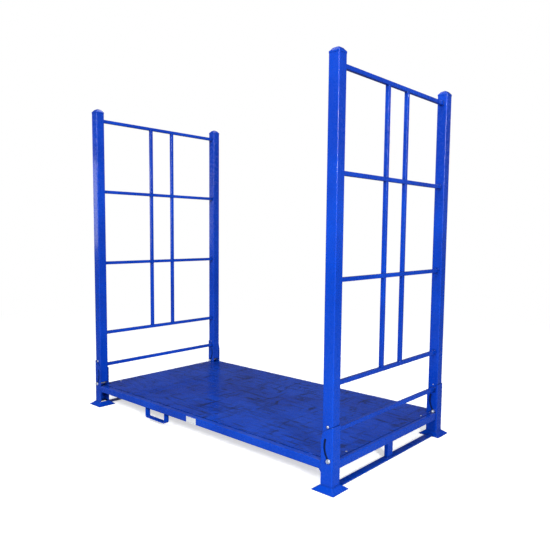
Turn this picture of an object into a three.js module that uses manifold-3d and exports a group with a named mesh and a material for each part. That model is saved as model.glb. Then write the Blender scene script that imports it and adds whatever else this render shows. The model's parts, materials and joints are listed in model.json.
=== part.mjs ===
// Folding, stacking tyre storage rack: a steel base deck with a socket at each corner, and two
// end frames that lift in their sockets and fold flat on the deck, one on top of the other.
//
// Millimetres, +Z up. The origin is on the ground at the middle of the rack. X runs along the
// long side, Y across it. Most pieces are drawn once, in the own frame of a corner, an end or a
// side, with its +x or +y pointing outwards, and then mirrored or turned into place.

import * as THREE from "three";
import { mergeVertices } from "three/addons/utils/BufferGeometryUtils.js";
import Module from "manifold-3d";

const wasm = await Module();
wasm.setup();

// ---- Driving dimensions ----------------------------------------------------------------------

const rack = {
  height: 2400,
  postSpacingX: 2316, // post centre to post centre along the rack
  postSpacingY: 1260, // and across it
};
const post = { side: 70, wall: 3, cornerRadius: 6 };
const cap = { side: 73, lipHeight: 8, height: 34, flatTop: 8 };
const capShoulder = { side: 44, height: 26 }; // where its steep lower slopes meet the flatter ones
const socket = {
  plate: 4, // thickness of the bent channel
  sideGap: 0.5, // channel flange to post
  webGap: 1, // channel web to post
  openEdge: -38, // inner edge of the flanges
  bendRadius: 7,
  bottom: 30,
  webTop: 368,
  cornerTop: 330, // outer flange's top, above its inner edge
  cornerCut: { x: -28, z: 284 }, // where the outer flange's inner top corner is cut off
  innerFlangeTop: 310, // the inner flange stops under the lowest rail
  innerFlangeRise: 24, // and rises from here to the web's top
  seatTop: 143.5,
  seatThickness: 6,
};
const foot = { side: 152, lip: 3, wall: 6 };
const slot = { width: 13.5, lowX: 13.5, lowZ: 174, midX: -10, midZ: 220, topX: -10, topZ: 291 };
const pivotBolt = { shankRadius: 6, hexRadius: 11, headHeight: 8, washerRadius: 13, washer: 2.5 };
const pivotNut = { hexRadius: 10.4, height: 10, washerRadius: 10, threadPastNut: 4 };
const postEnd = { radius: 30, slope: Math.PI / 3 }; // rounded about the pivot, sloped inside
const stopPin = { x: 4, z: 365, shankRadius: 4, innerEnd: 2 };
const stopPinHead = { radius: 8, rimHeight: 3.6, crownRadius: 6, height: 6 };
const rail = { height: 25, depth: 25, wall: 2, cornerRadius: 3 };
const railCentres = [2311, 1750, 1172, 596, 329]; // heights of the five rails, top to bottom
const bar = { width: 25, offset: 113 };
const barRows = 3; // upright bars stand between the first four rails
const beam = { side: 50, wall: 3, cornerRadius: 6, bottom: 113 };
const beamFace = { end: 32, side: 37 }; // outer face of the end beams and of the side beams
const beamGusset = { length: 17, height: 20, thickness: 4, setBack: 1 };
const crossMember = { width: 50, height: 30, wall: 3, cornerRadius: 4, offset: 386 };
const deck = { thickness: 3, endMargin: 26, sideMargin: 43, cornerReliefY: 60, notchGap: 1 };
const strap = { bottom: 4, thickness: 8, inner: -18, outer: 30 };
const strut = { depth: 28, width: 61, wall: 3, cornerRadius: 4, centreX: 2 };
const forkLoop = {
  width: 232,
  depth: 40,
  thickness: 8,
  bottom: 40,
  bendRadius: 16,
  centreX: 400,
  inset: 2, // from the side beam's outer face
};
const label = {
  width: 100,
  height: 42,
  thickness: 1,
  cornerRadius: 3,
  centreX: -12,
  centreZ: 137,
};

const weldGap = 0.3; // left between welded neighbours
const restGap = 0.2; // left under the deck, the caps and the label
const washerGap = 0.5; // between the pivot bolt's washers and the socket
const holeClearance = 0.8; // radial, round the pivot bolt
const joinOverlap = 1; // how far solids that become one reach into each other
const cutReach = 5; // how far a cutting solid reaches past what it cuts
const boltSegments = 24;
const pinSegments = 16;
const bendSegments = 2; // half the number of chords in a bend of a quarter turn
const thinBendSegments = 1; // the same, for the small tubes of the frames
const wideBendSegments = 3; // and for the fork loops
const slotSegments = 7;

// ---- Values worked out from them -------------------------------------------------------------

const cornerX = rack.postSpacingX / 2;
const cornerY = rack.postSpacingY / 2;
const halfPost = post.side / 2;
const flangeInner = halfPost + socket.sideGap;
const flangeOuter = flangeInner + socket.plate;
const webInner = halfPost + socket.webGap;
const webOuter = webInner + socket.plate;
const beamTop = beam.bottom + beam.side;
const postTop = rack.height - cap.height;

// ---- Materials -------------------------------------------------------------------------------

const bluePaint = new THREE.MeshStandardMaterial({ color: 0x1243c4, roughness: 0.35 });
const zinc = new THREE.MeshStandardMaterial({ color: 0xcfd6dd, roughness: 0.3, metalness: 0.9 });
const labelWhite = new THREE.MeshStandardMaterial({ color: 0xf2f3f3, roughness: 0.5 });

// ---- Solids ----------------------------------------------------------------------------------

// A geometry as a manifold-3d solid.
function solid(geometry) {
  const bare = geometry.clone();
  bare.deleteAttribute("normal");
  bare.deleteAttribute("uv");
  const merged = mergeVertices(bare, 1e-4);
  return new wasm.Manifold(
    new wasm.Mesh({
      numProp: 3,
      vertProperties: merged.getAttribute("position").array,
      triVerts: new Uint32Array(merged.index.array),
    }),
  );
}

// A manifold-3d solid as a geometry with flat faces.
function geometryOf(body) {
  const mesh = body.getMesh();
  const indexed = new THREE.BufferGeometry();
  indexed.setAttribute("position", new THREE.BufferAttribute(mesh.vertProperties, 3));
  indexed.setIndex(new THREE.BufferAttribute(mesh.triVerts, 1));
  const flat = indexed.toNonIndexed();
  flat.computeVertexNormals();
  return flat;
}

// A closed outline of a rectangle with rounded corners, centred on the origin.
function roundedRectangle(width, height, radius, path = new THREE.Shape()) {
  const x = width / 2;
  const y = height / 2;
  path.moveTo(-x + radius, -y);
  path.lineTo(x - radius, -y);
  path.absarc(x - radius, -y + radius, radius, -Math.PI / 2, 0);
  path.lineTo(x, y - radius);
  path.absarc(x - radius, y - radius, radius, 0, Math.PI / 2);
  path.lineTo(-x + radius, y);
  path.absarc(-x + radius, y - radius, radius, Math.PI / 2, Math.PI);
  path.lineTo(-x, -y + radius);
  path.absarc(-x + radius, -y + radius, radius, Math.PI, 1.5 * Math.PI);
  return path;
}

// An outline pushed along +Z from z = 0.
function prism(shape, length, curveSegments = bendSegments) {
  return new THREE.ExtrudeGeometry(shape, { depth: length, bevelEnabled: false, curveSegments });
}

// A rectangular tube along +Z from z = 0, open at both ends.
function tube(width, height, length, wall, radius, curveSegments = bendSegments) {
  const shape = roundedRectangle(width, height, radius);
  const inner = Math.max(radius - wall, 0.6);
  shape.holes.push(
    roundedRectangle(width - 2 * wall, height - 2 * wall, inner, new THREE.Path()),
  );
  return prism(shape, length, curveSegments);
}

// Turns a solid drawn in x and y and pushed along z into one drawn in x and z that spans
// y = from .. from + its length.
function standUp(geometry, from, length) {
  return geometry.rotateX(Math.PI / 2).translate(0, from + length, 0);
}

// A prism whose outline is drawn in x and z, from y = low to y = high.
function sidePrism(shape, low, high, curveSegments = bendSegments) {
  return standUp(prism(shape, high - low, curveSegments), low, high - low);
}

// A round or hexagonal rod along Y from y = low to y = high, a hexagon with a flat underneath.
function rod(radius, low, high, x, z, sides) {
  const turn = sides === 6 ? Math.PI / 6 : 0;
  return new THREE.CylinderGeometry(radius, radius, high - low, sides)
    .rotateY(turn)
    .translate(x, (low + high) / 2, z);
}

// A block between the given limits.
function box(lowX, highX, lowY, highY, lowZ, highZ) {
  return new THREE.BoxGeometry(highX - lowX, highY - lowY, highZ - lowZ).translate(
    (lowX + highX) / 2,
    (lowY + highY) / 2,
    (lowZ + highZ) / 2,
  );
}

// A square pyramid-like solid or shell: the profile gives half its side against height.
function squareLathe(profile) {
  const points = profile.map(([half, z]) => new THREE.Vector2(half * Math.SQRT2, z));
  return new THREE.LatheGeometry(points, 4).rotateY(Math.PI / 4).rotateX(Math.PI / 2);
}

// The centre, radius and angles of the arc that the slot follows, through its three points.
function slotArc() {
  const { lowX, lowZ, midX, midZ, topZ } = slot;
  const z = (midZ + topZ) / 2;
  const x =
    (lowX ** 2 - midX ** 2 + (lowZ - z) ** 2 - (midZ - z) ** 2) / (2 * (lowX - midX));
  const radius = Math.hypot(lowX - x, lowZ - z);
  const angleOf = (px, pz) => (Math.atan2(pz - z, px - x) + 2 * Math.PI) % (2 * Math.PI);
  return { x, z, radius, low: angleOf(lowX, lowZ), top: angleOf(slot.topX, topZ) };
}

// The slot's outline: a band of constant width along the arc, with round ends.
function slotShape() {
  const arc = slotArc();
  const half = slot.width / 2;
  const endAt = (angle) => [
    arc.x + arc.radius * Math.cos(angle),
    arc.z + arc.radius * Math.sin(angle),
  ];
  const shape = new THREE.Shape();
  shape.absarc(arc.x, arc.z, arc.radius + half, arc.top, arc.low);
  shape.absarc(...endAt(arc.low), half, arc.low, arc.low + Math.PI);
  shape.absarc(arc.x, arc.z, arc.radius - half, arc.low, arc.top, true);
  shape.absarc(...endAt(arc.top), half, arc.top + Math.PI, arc.top + 2 * Math.PI);
  return shape;
}

// ---- Corner pieces, in the corner's own frame: +x and +y outwards ------------------------------

// The bent channel that holds a post: web outside, open towards the middle of the rack, with a
// slot in both flanges for the pivot bolt and a seat plate welded across it.
function cornerSocket() {
  const radius = socket.bendRadius;
  const innerRadius = radius - socket.plate;
  const plan = new THREE.Shape();
  plan.moveTo(socket.openEdge, -flangeOuter);
  plan.lineTo(webOuter - radius, -flangeOuter);
  plan.absarc(webOuter - radius, -flangeOuter + radius, radius, -Math.PI / 2, 0);
  plan.lineTo(webOuter, flangeOuter - radius);
  plan.absarc(webOuter - radius, flangeOuter - radius, radius, 0, Math.PI / 2);
  plan.lineTo(socket.openEdge, flangeOuter);
  plan.lineTo(socket.openEdge, flangeInner);
  plan.lineTo(webInner - innerRadius, flangeInner);
  plan.absarc(
    webInner - innerRadius, flangeInner - innerRadius, innerRadius, Math.PI / 2, 0, true,
  );
  plan.lineTo(webInner, -flangeInner + innerRadius);
  plan.absarc(
    webInner - innerRadius, -flangeInner + innerRadius, innerRadius, 0, -Math.PI / 2, true,
  );
  plan.lineTo(socket.openEdge, -flangeInner);
  const channel = prism(plan, socket.webTop - socket.bottom).translate(0, 0, socket.bottom);

  // What is cut off above each flange's top edge.
  const above = socket.webTop + cutReach;
  const beyond = socket.openEdge - cutReach;
  const outerTop = new THREE.Shape([
    new THREE.Vector2(webInner, socket.webTop),
    new THREE.Vector2(webInner, above),
    new THREE.Vector2(beyond, above),
    new THREE.Vector2(beyond, socket.cornerCut.z),
    new THREE.Vector2(socket.openEdge, socket.cornerCut.z),
    new THREE.Vector2(socket.cornerCut.x, socket.cornerTop),
  ]);
  const innerTop = new THREE.Shape([
    new THREE.Vector2(webInner, socket.webTop),
    new THREE.Vector2(webInner, above),
    new THREE.Vector2(beyond, above),
    new THREE.Vector2(beyond, socket.innerFlangeTop),
    new THREE.Vector2(socket.innerFlangeRise, socket.innerFlangeTop),
  ]);
  const seat = box(
    socket.openEdge, webInner + joinOverlap,
    -flangeInner - joinOverlap, flangeInner + joinOverlap,
    socket.seatTop - socket.seatThickness, socket.seatTop,
  );
  const slotCut = sidePrism(
    slotShape(), flangeInner - cutReach, flangeOuter + cutReach, slotSegments,
  );
  const acrossToInnerFlange = -flangeInner - flangeOuter;
  return geometryOf(
    solid(channel)
      .subtract(solid(sidePrism(outerTop, 0, flangeOuter + cutReach)))
      .subtract(solid(sidePrism(innerTop, -flangeOuter - cutReach, 0)))
      .add(solid(seat))
      .subtract(solid(slotCut))
      .subtract(solid(slotCut).translate([0, acrossToInnerFlange, 0])),
  );
}

// The flared foot, hollow below so that it sits over the cap of a rack underneath.
function flaredFoot() {
  const bottom = foot.side / 2;
  const top = webOuter;
  const height = socket.bottom - weldGap;
  return squareLathe([
    [bottom - foot.wall, 0],
    [bottom, 0],
    [bottom, foot.lip],
    [top, height],
    [top - foot.wall, height],
    [bottom - foot.wall, 0],
  ]);
}

// The foot's outside as a full solid, a little larger, to cut what butts against it.
function footCutter() {
  const bottom = foot.side / 2 + weldGap;
  return solid(
    squareLathe([
      [0, -cutReach],
      [bottom, -cutReach],
      [bottom, foot.lip],
      [webOuter + weldGap, socket.bottom],
      [0, socket.bottom],
    ]),
  );
}

// A frame post: a square tube, its lower end rounded about the pivot and cut back on the inside
// so that it can turn in the socket.
function framePost() {
  const { lowX, lowZ } = slot;
  const { radius, slope } = postEnd;
  const length = postTop - restGap;
  const beyond = halfPost + cutReach;
  const startAngle = -Math.acos((halfPost - lowX) / radius);
  const endAngle = -Math.PI / 2 - slope;
  const tangentX = lowX + radius * Math.cos(endAngle);
  const tangentZ = lowZ + radius * Math.sin(endAngle);
  const outline = new THREE.Shape();
  outline.moveTo(beyond, length + cutReach);
  outline.lineTo(-beyond, length + cutReach);
  outline.lineTo(-beyond, tangentZ + (tangentX + beyond) * Math.tan(slope));
  outline.lineTo(tangentX, tangentZ);
  outline.absarc(lowX, lowZ, radius, endAngle, startAngle);
  outline.lineTo(beyond, lowZ + radius * Math.sin(startAngle));
  const pivotHole = rod(
    pivotBolt.shankRadius + holeClearance, -beyond, beyond, lowX, lowZ, boltSegments,
  );
  const pinHole = rod(
    stopPin.shankRadius + weldGap, -beyond, beyond, stopPin.x, stopPin.z, pinSegments,
  );
  return geometryOf(
    solid(tube(post.side, post.side, length, post.wall, post.cornerRadius))
      .intersect(solid(sidePrism(outline, -beyond, beyond, slotSegments)))
      .subtract(solid(pivotHole))
      .subtract(solid(pinHole)),
  );
}

// The pyramid cap on a post.
function postCap() {
  const half = cap.side / 2;
  return squareLathe([
    [0, postTop],
    [half, postTop],
    [half, postTop + cap.lipHeight],
    [capShoulder.side / 2, postTop + capShoulder.height],
    [cap.flatTop / 2, rack.height],
    [0, rack.height],
  ]);
}

// The pivot bolt that rides in a socket's slots, with its washers and lock nut tightened on it.
function pivotBoltWithNut() {
  const washerSeat = flangeOuter + washerGap;
  const headBase = washerSeat + pivotBolt.washer;
  const headEnd = headBase + pivotBolt.headHeight;
  const nutBase = -headBase;
  const nutEnd = nutBase - pivotNut.height;
  const threadEnd = nutEnd - pivotNut.threadPastNut;
  const along = (radius, low, high, sides) =>
    solid(rod(radius, low, high, slot.lowX, slot.lowZ, sides));
  return geometryOf(
    along(pivotBolt.shankRadius, threadEnd, headBase + joinOverlap, boltSegments)
      .add(along(pivotBolt.washerRadius, washerSeat, headBase, boltSegments))
      .add(along(pivotBolt.hexRadius, headBase, headEnd, 6))
      .add(along(pivotNut.washerRadius, nutBase, -washerSeat, boltSegments))
      .add(along(pivotNut.hexRadius, nutEnd, nutBase, 6)),
  );
}

// The pin through a post just above its socket.
function stopPinBody() {
  const face = halfPost + weldGap;
  const { radius, rimHeight, crownRadius, height } = stopPinHead;
  const along = (itsRadius, low, high) =>
    solid(rod(itsRadius, low, high, stopPin.x, stopPin.z, pinSegments));
  return geometryOf(
    along(stopPin.shankRadius, -halfPost - stopPin.innerEnd, face + joinOverlap)
      .add(along(radius, face, face + rimHeight))
      .add(along(crownRadius, face + joinOverlap, face + height)),
  );
}

// ---- End pieces, in an end's own frame: +x outwards, y across the rack -------------------------

// A frame rail between the two posts, at the height of its centre.
function frameRail(centreZ) {
  const length = 2 * (cornerY - halfPost - weldGap);
  return tube(rail.depth, rail.height, length, rail.wall, rail.cornerRadius, thinBendSegments)
    .rotateX(Math.PI / 2)
    .translate(0, length / 2, centreZ);
}

// One length of upright bar between two rails.
function frameBar(lowZ, highZ, y) {
  return tube(
    rail.depth, bar.width, highZ - lowZ, rail.wall, rail.cornerRadius, thinBendSegments,
  ).translate(0, y, lowZ);
}

// The beam under the lowest rail, between an end's two sockets.
function endBeam() {
  const length = 2 * (cornerY - flangeOuter - weldGap);
  return tube(beam.side, beam.side, length, beam.wall, beam.cornerRadius)
    .rotateX(Math.PI / 2)
    .translate(beamFace.end - beam.side / 2, length / 2, beam.bottom + beam.side / 2);
}

// The flat strap near the ground, its ends cut to the slope of the feet.
function lowerStrap() {
  const flat = box(
    strap.inner, strap.outer, -cornerY, cornerY, strap.bottom, strap.bottom + strap.thickness,
  );
  return geometryOf(
    solid(flat)
      .subtract(footCutter().translate([0, cornerY, 0]))
      .subtract(footCutter().translate([0, -cornerY, 0])),
  );
}

// The short post between the strap and the end beam, which parts the two fork openings.
function middleStrut() {
  const low = strap.bottom + strap.thickness + weldGap;
  const length = beam.bottom - weldGap - low;
  return tube(strut.depth, strut.width, length, strut.wall, strut.cornerRadius)
    .translate(strut.centreX, 0, low);
}

// ---- Long-side pieces, in a side's own frame: x along the rack, +y outwards --------------------

// A side beam with a small gusset under each end.
function sideBeam() {
  const half = cornerX + socket.openEdge - weldGap;
  const body = tube(beam.side, beam.side, 2 * half, beam.wall, beam.cornerRadius)
    .rotateY(Math.PI / 2)
    .translate(-half, beamFace.side - beam.side / 2, beam.bottom + beam.side / 2);
  const face = beamFace.side - beamGusset.setBack;
  const top = beam.bottom + beam.wall;
  let welded = solid(body);
  for (const side of [-1, 1]) {
    const gusset = new THREE.Shape([
      new THREE.Vector2(side * half, top),
      new THREE.Vector2(side * half, beam.bottom - beamGusset.height),
      new THREE.Vector2(side * (half - beamGusset.length), beam.bottom),
      new THREE.Vector2(side * (half - beamGusset.length), top),
    ]);
    welded = welded.add(solid(sidePrism(gusset, face - beamGusset.thickness, face)));
  }
  return geometryOf(welded);
}

// The bent flat bar under a side beam that holds a fork tine in.
function forkLoopBody() {
  const outer = forkLoop.width / 2;
  const top = beam.bottom - weldGap;
  const { bottom, thickness, bendRadius: radius } = forkLoop;
  const inner = outer - thickness;
  const innerRadius = radius - thickness;
  const shape = new THREE.Shape();
  shape.moveTo(-outer, top);
  shape.lineTo(-outer, bottom + radius);
  shape.absarc(-outer + radius, bottom + radius, radius, Math.PI, 1.5 * Math.PI);
  shape.lineTo(outer - radius, bottom);
  shape.absarc(outer - radius, bottom + radius, radius, 1.5 * Math.PI, 2 * Math.PI);
  shape.lineTo(outer, top);
  shape.lineTo(inner, top);
  shape.lineTo(inner, bottom + radius);
  shape.absarc(outer - radius, bottom + radius, innerRadius, 0, -Math.PI / 2, true);
  shape.lineTo(-outer + radius, bottom + thickness);
  shape.absarc(-outer + radius, bottom + radius, innerRadius, 1.5 * Math.PI, Math.PI, true);
  shape.lineTo(-inner, top);
  const face = beamFace.side - forkLoop.inset;
  return sidePrism(shape, face - forkLoop.depth, face, wideBendSegments).translate(
    forkLoop.centreX, 0, 0,
  );
}

// ---- Middle pieces ---------------------------------------------------------------------------

// The deck sheet, with its corners cut out round the sockets and the pivot nuts.
function deckSheet() {
  const x = cornerX + beamFace.end - deck.endMargin;
  const y = cornerY + beamFace.side - deck.sideMargin;
  const notchX = cornerX + socket.openEdge - deck.notchGap;
  const notchY = cornerY - deck.cornerReliefY;
  const shape = new THREE.Shape([
    new THREE.Vector2(-notchX, -y),
    new THREE.Vector2(notchX, -y),
    new THREE.Vector2(notchX, -notchY),
    new THREE.Vector2(x, -notchY),
    new THREE.Vector2(x, notchY),
    new THREE.Vector2(notchX, notchY),
    new THREE.Vector2(notchX, y),
    new THREE.Vector2(-notchX, y),
    new THREE.Vector2(-notchX, notchY),
    new THREE.Vector2(-x, notchY),
    new THREE.Vector2(-x, -notchY),
    new THREE.Vector2(-notchX, -notchY),
  ]);
  return prism(shape, deck.thickness).translate(0, 0, beamTop + restGap);
}

// One of the two tubes that carry the deck sheet between the side beams.
function deckCrossMember() {
  const half = cornerY + beamFace.side - beam.side - weldGap;
  return tube(
    crossMember.width, crossMember.height, 2 * half, crossMember.wall, crossMember.cornerRadius,
  )
    .rotateX(Math.PI / 2)
    .translate(0, half, beamTop - crossMember.height / 2);
}

// The blank label on the front side beam.
function labelPlate() {
  const shape = roundedRectangle(label.width, label.height, label.cornerRadius);
  const face = beamFace.side + restGap;
  return sidePrism(shape, face, face + label.thickness).translate(
    label.centreX, 0, label.centreZ,
  );
}

// ---- Assembly --------------------------------------------------------------------------------

const tyreRack = new THREE.Group();

function addMesh(parent, name, geometry, material) {
  const mesh = new THREE.Mesh(geometry, material);
  mesh.name = name;
  parent.add(mesh);
  return mesh;
}

// A group whose own +x and +y point outwards from the middle of the rack.
function mirroredGroup(x, y, signX, signY) {
  const group = new THREE.Group();
  group.position.set(signX * x, signY * y, 0);
  group.scale.set(signX, signY, 1);
  tyreRack.add(group);
  return group;
}

const ends = [
  ["left", -1],
  ["right", 1],
];
const sides = [
  ["front", -1],
  ["rear", 1],
];
const socketGeometry = cornerSocket();
const footGeometry = flaredFoot();
const postGeometry = framePost();
const capGeometry = postCap();
const boltGeometry = pivotBoltWithNut();
const pinGeometry = stopPinBody();

addMesh(tyreRack, "deck_sheet", deckSheet(), bluePaint);
for (const [end, signX] of ends) {
  const member = addMesh(tyreRack, `deck_cross_member_${end}`, deckCrossMember(), bluePaint);
  member.position.x = signX * crossMember.offset;
}

for (const [side, signY] of sides) {
  // Half a turn about Z, so the two fork loops stand diagonally opposite.
  const group = new THREE.Group();
  group.position.y = signY * cornerY;
  group.rotation.z = signY < 0 ? Math.PI : 0;
  tyreRack.add(group);
  addMesh(group, `side_beam_${side}`, sideBeam(), bluePaint);
  addMesh(group, `fork_loop_${side}`, forkLoopBody(), bluePaint);
  if (side === "front") addMesh(group, "label_plate", labelPlate(), labelWhite);
}

for (const [end, signX] of ends) {
  const group = mirroredGroup(cornerX, 0, signX, 1);
  addMesh(group, `end_beam_${end}`, endBeam(), bluePaint);
  addMesh(group, `lower_strap_${end}`, lowerStrap(), bluePaint);
  addMesh(group, `fork_divider_${end}`, middleStrut(), bluePaint);
  railCentres.forEach((centre, index) => {
    addMesh(group, `frame_rail_${index + 1}_${end}`, frameRail(centre), bluePaint);
  });
  for (const [side, signY] of sides) {
    for (let index = 0; index < barRows; index += 1) {
      const high = railCentres[index] - rail.height / 2 - weldGap;
      const low = railCentres[index + 1] + rail.height / 2 + weldGap;
      const geometry = frameBar(low, high, signY * bar.offset);
      addMesh(group, `frame_bar_${index + 1}_${end}_${side}`, geometry, bluePaint);
    }
  }
}

for (const [end, signX] of ends) {
  for (const [side, signY] of sides) {
    const group = mirroredGroup(cornerX, cornerY, signX, signY);
    addMesh(group, `corner_socket_${end}_${side}`, socketGeometry, bluePaint);
    addMesh(group, `flared_foot_${end}_${side}`, footGeometry, bluePaint);
    addMesh(group, `frame_post_${end}_${side}`, postGeometry, bluePaint);
    addMesh(group, `post_cap_${end}_${side}`, capGeometry, bluePaint);
    addMesh(group, `pivot_bolt_${end}_${side}`, boltGeometry, zinc);
    addMesh(group, `stop_pin_${end}_${side}`, pinGeometry, zinc);
  }
}

export default tyreRack;
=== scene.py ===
"""A folding, stacking tyre rack: its looks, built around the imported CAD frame.

Everything is in metres in the frame's own axes: +Z up, X along the rack, Y across it, the origin
on the ground at the middle. Pieces that repeat are drawn once in the own frame of a corner, an
end or a side, with +x or +y pointing outwards, and mirrored into place.
"""

import json
import math

import bmesh
import bpy
import numpy as np
from mathutils import Matrix, Vector
from mathutils.geometry import delaunay_2d_cdt


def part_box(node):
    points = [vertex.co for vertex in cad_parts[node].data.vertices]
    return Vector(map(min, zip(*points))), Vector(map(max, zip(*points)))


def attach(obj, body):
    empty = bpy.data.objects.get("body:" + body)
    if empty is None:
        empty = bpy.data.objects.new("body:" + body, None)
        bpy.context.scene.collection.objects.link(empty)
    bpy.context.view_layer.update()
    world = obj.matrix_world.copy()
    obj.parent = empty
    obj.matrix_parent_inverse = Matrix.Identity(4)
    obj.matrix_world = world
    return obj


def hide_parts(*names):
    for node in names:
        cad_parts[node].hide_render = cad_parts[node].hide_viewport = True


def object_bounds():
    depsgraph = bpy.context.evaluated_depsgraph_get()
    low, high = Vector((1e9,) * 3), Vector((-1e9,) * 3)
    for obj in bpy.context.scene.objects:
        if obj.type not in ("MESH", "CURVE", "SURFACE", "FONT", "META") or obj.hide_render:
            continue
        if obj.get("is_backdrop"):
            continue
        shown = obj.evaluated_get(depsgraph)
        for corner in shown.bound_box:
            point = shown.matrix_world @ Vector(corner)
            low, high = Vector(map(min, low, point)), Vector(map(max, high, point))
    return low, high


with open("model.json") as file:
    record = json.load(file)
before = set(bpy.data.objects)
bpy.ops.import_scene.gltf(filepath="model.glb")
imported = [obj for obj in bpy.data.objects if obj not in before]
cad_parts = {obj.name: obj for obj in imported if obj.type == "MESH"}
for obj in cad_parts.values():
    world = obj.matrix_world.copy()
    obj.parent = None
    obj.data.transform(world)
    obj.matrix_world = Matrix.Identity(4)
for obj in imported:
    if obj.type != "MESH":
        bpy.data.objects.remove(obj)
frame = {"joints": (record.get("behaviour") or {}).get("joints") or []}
cad_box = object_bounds()

MM = 0.001
ENDS = (("left", -1), ("right", 1))
SIDES = (("front", -1), ("rear", 1))

# ---- Places and sizes read from the frame ----

joints = {joint["name"]: joint for joint in frame["joints"]}
post_low, post_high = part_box("frame_post_right_rear")
CORNER_X = (post_low.x + post_high.x) / 2
CORNER_Y = (post_low.y + post_high.y) / 2
HALF_POST = (post_high.x - post_low.x) / 2
POST_TOP = post_high.z
POST_BOTTOM = post_low.z
PIVOT_X = joints["right_fold"]["pos_m"][0] - CORNER_X
PIVOT_Z = joints["right_fold"]["pos_m"][2]
ARC_X = joints["right_lift"]["pos_m"][0] - CORNER_X
ARC_Z = joints["right_lift"]["pos_m"][2]
socket_low, socket_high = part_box("corner_socket_right_rear")
SOCKET_OPEN = socket_low.x - CORNER_X
SOCKET_WEB = socket_high.x - CORNER_X
SOCKET_FLANGE = socket_high.y - CORNER_Y
SOCKET_BOTTOM, SOCKET_TOP = socket_low.z, socket_high.z
_, foot_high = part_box("flared_foot_right_rear")
cap_low, cap_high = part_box("post_cap_right_rear")
deck_low, deck_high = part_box("deck_sheet")
pin_low, pin_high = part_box("stop_pin_right_rear")
bolt_low, bolt_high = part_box("pivot_bolt_right_rear")
_, beam_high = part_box("side_beam_rear")
end_low, end_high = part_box("end_beam_right")
PIN_X = (pin_low.x + pin_high.x) / 2 - CORNER_X
PIN_Z = (pin_low.z + pin_high.z) / 2
PIN_HEAD = (pin_high.z - pin_low.z) / 2
BEAM_TOP = beam_high.z
BEAM_SIDE = end_high.z - end_low.z
BEAM_BOTTOM = end_low.z

# ---- Sizes of the fine shape ----

POST_WALL = 3 * MM
POST_CORNER = 6 * MM
POST_END_RADIUS = PIVOT_Z - POST_BOTTOM
POST_END_SLOPE = math.radians(60)
POST_END_STEPS = 120  # round the post, along its lower end
PIVOT_HOLE = 6.8 * MM
PIN_HOLE = 4.3 * MM
PLATE = 4 * MM
SOCKET_BEND = 7 * MM
SOCKET_CUT_X, SOCKET_CUT_Z = -28 * MM, 284 * MM
SOCKET_CORNER_TOP = 330 * MM
INNER_FLANGE_TOP, INNER_FLANGE_RISE = 310 * MM, 24 * MM
SLOT_WIDTH = 13.5 * MM
SLOT_TOP_Z = 291 * MM
SEAT_TOP, SEAT_THICKNESS = 143.5 * MM, 6 * MM
CUT_EDGE = 0.7 * MM  # the rounding that powder coating leaves on a cut edge
SMALL_TUBE_WALL, SMALL_TUBE_CORNER = 2 * MM, 3 * MM
BEAM_WALL, BEAM_CORNER = 3 * MM, 6 * MM
GUSSET_LENGTH, GUSSET_HEIGHT, GUSSET_THICKNESS = 17 * MM, 20 * MM, 4 * MM
GUSSET_SET_BACK = 1 * MM
LOOP_THICKNESS, LOOP_BEND = 8 * MM, 16 * MM
FOOT_WALL, FOOT_LIP = 6 * MM, 3 * MM
CAP_LIP, CAP_CORNER, CAP_FLAT = 8 * MM, 7 * MM, 4 * MM
CAP_SHOULDER_X, CAP_SHOULDER_Z = 22 * MM, 26 * MM
NOTCH_GAP, NOTCH_DEPTH = 1 * MM, 60 * MM
BOLT_SHANK, HEAD_HEIGHT, HEAD_APOTHEM = 6 * MM, 8 * MM, 9.5 * MM
NUT_HEIGHT, NUT_APOTHEM = 10 * MM, 9 * MM
WASHER, WASHER_RADIUS, NUT_WASHER_RADIUS = 2.5 * MM, 13 * MM, 10 * MM
THREAD_PITCH, THREAD_DEPTH, THREAD_TURNS = 1.75 * MM, 0.9 * MM, 4
FLAT_SHARE, DISH_SHARE, DISH_DEPTH = 0.96, 0.55, 0.3 * MM  # of a bolt's head, to its apothem
CHAMFER_ANGLE = math.radians(30)
SCREW_RADIUS, SCREW_HEIGHT = 7 * MM, 2.4 * MM
SCREW_INSET_X, SCREW_INSET_Y = 11.5 * MM, 173 * MM  # from the post's centre
RIPPLE = 4.2 * MM  # length of one ripple of a weld bead
FRAME_BEAD, BEAM_BEAD, CAP_BEAD, STITCH_BEAD = 3 * MM, 4 * MM, 1.8 * MM, 2.5 * MM
DECK_STITCHES, STITCH_LENGTH, STITCHED_SHARE = 9, 32 * MM, 0.875
INNER_TUBE_CORNER = 4 * MM  # cross-members and fork dividers
RAILS, BAR_ROWS = range(1, 6), range(1, 4)

NEAR = 1e-7  # closer than this, two coordinates of an outline count as the same
TINY, NO_AREA = 1e-9, 1e-16  # a slip in a distance, and the size of an empty triangle
FLAT_LEFT = 1e-6  # of a plate's edge between its two rounded rims, at the least
SHARPEST_CORNER = 0.2  # 0 to 2 from sharp to straight; sharper ones are inset as if they were this
SMOOTH_ANGLE = math.radians(38)  # flatter edges than this are shaded smooth
QUARTER = math.pi / 2

# ---- Stage and reference view ----

FLOOR_RADIUS = 40.0
FLOOR_WHITE_FROM, FLOOR_WHITE_BY = 2.5, 7.0
FLOOR_GLOW = 0.6
HORIZON_LIGHT, ZENITH_LIGHT = 0.52, 0.10
MIRRORED_SHARE = 0.3

VIEW_YAW, VIEW_PITCH, VIEW_ROLL = (math.radians(angle) for angle in (43.0075, 4.969, 0.393))
VIEW_FROM = (2.9688, -3.1847, 1.4220)
LENS, SENSOR = 37.61, 36.0
VIEW_SHIFT_X, VIEW_SHIFT_Y = 0.0336, 0.0153

# ---- Shapes ----


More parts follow.
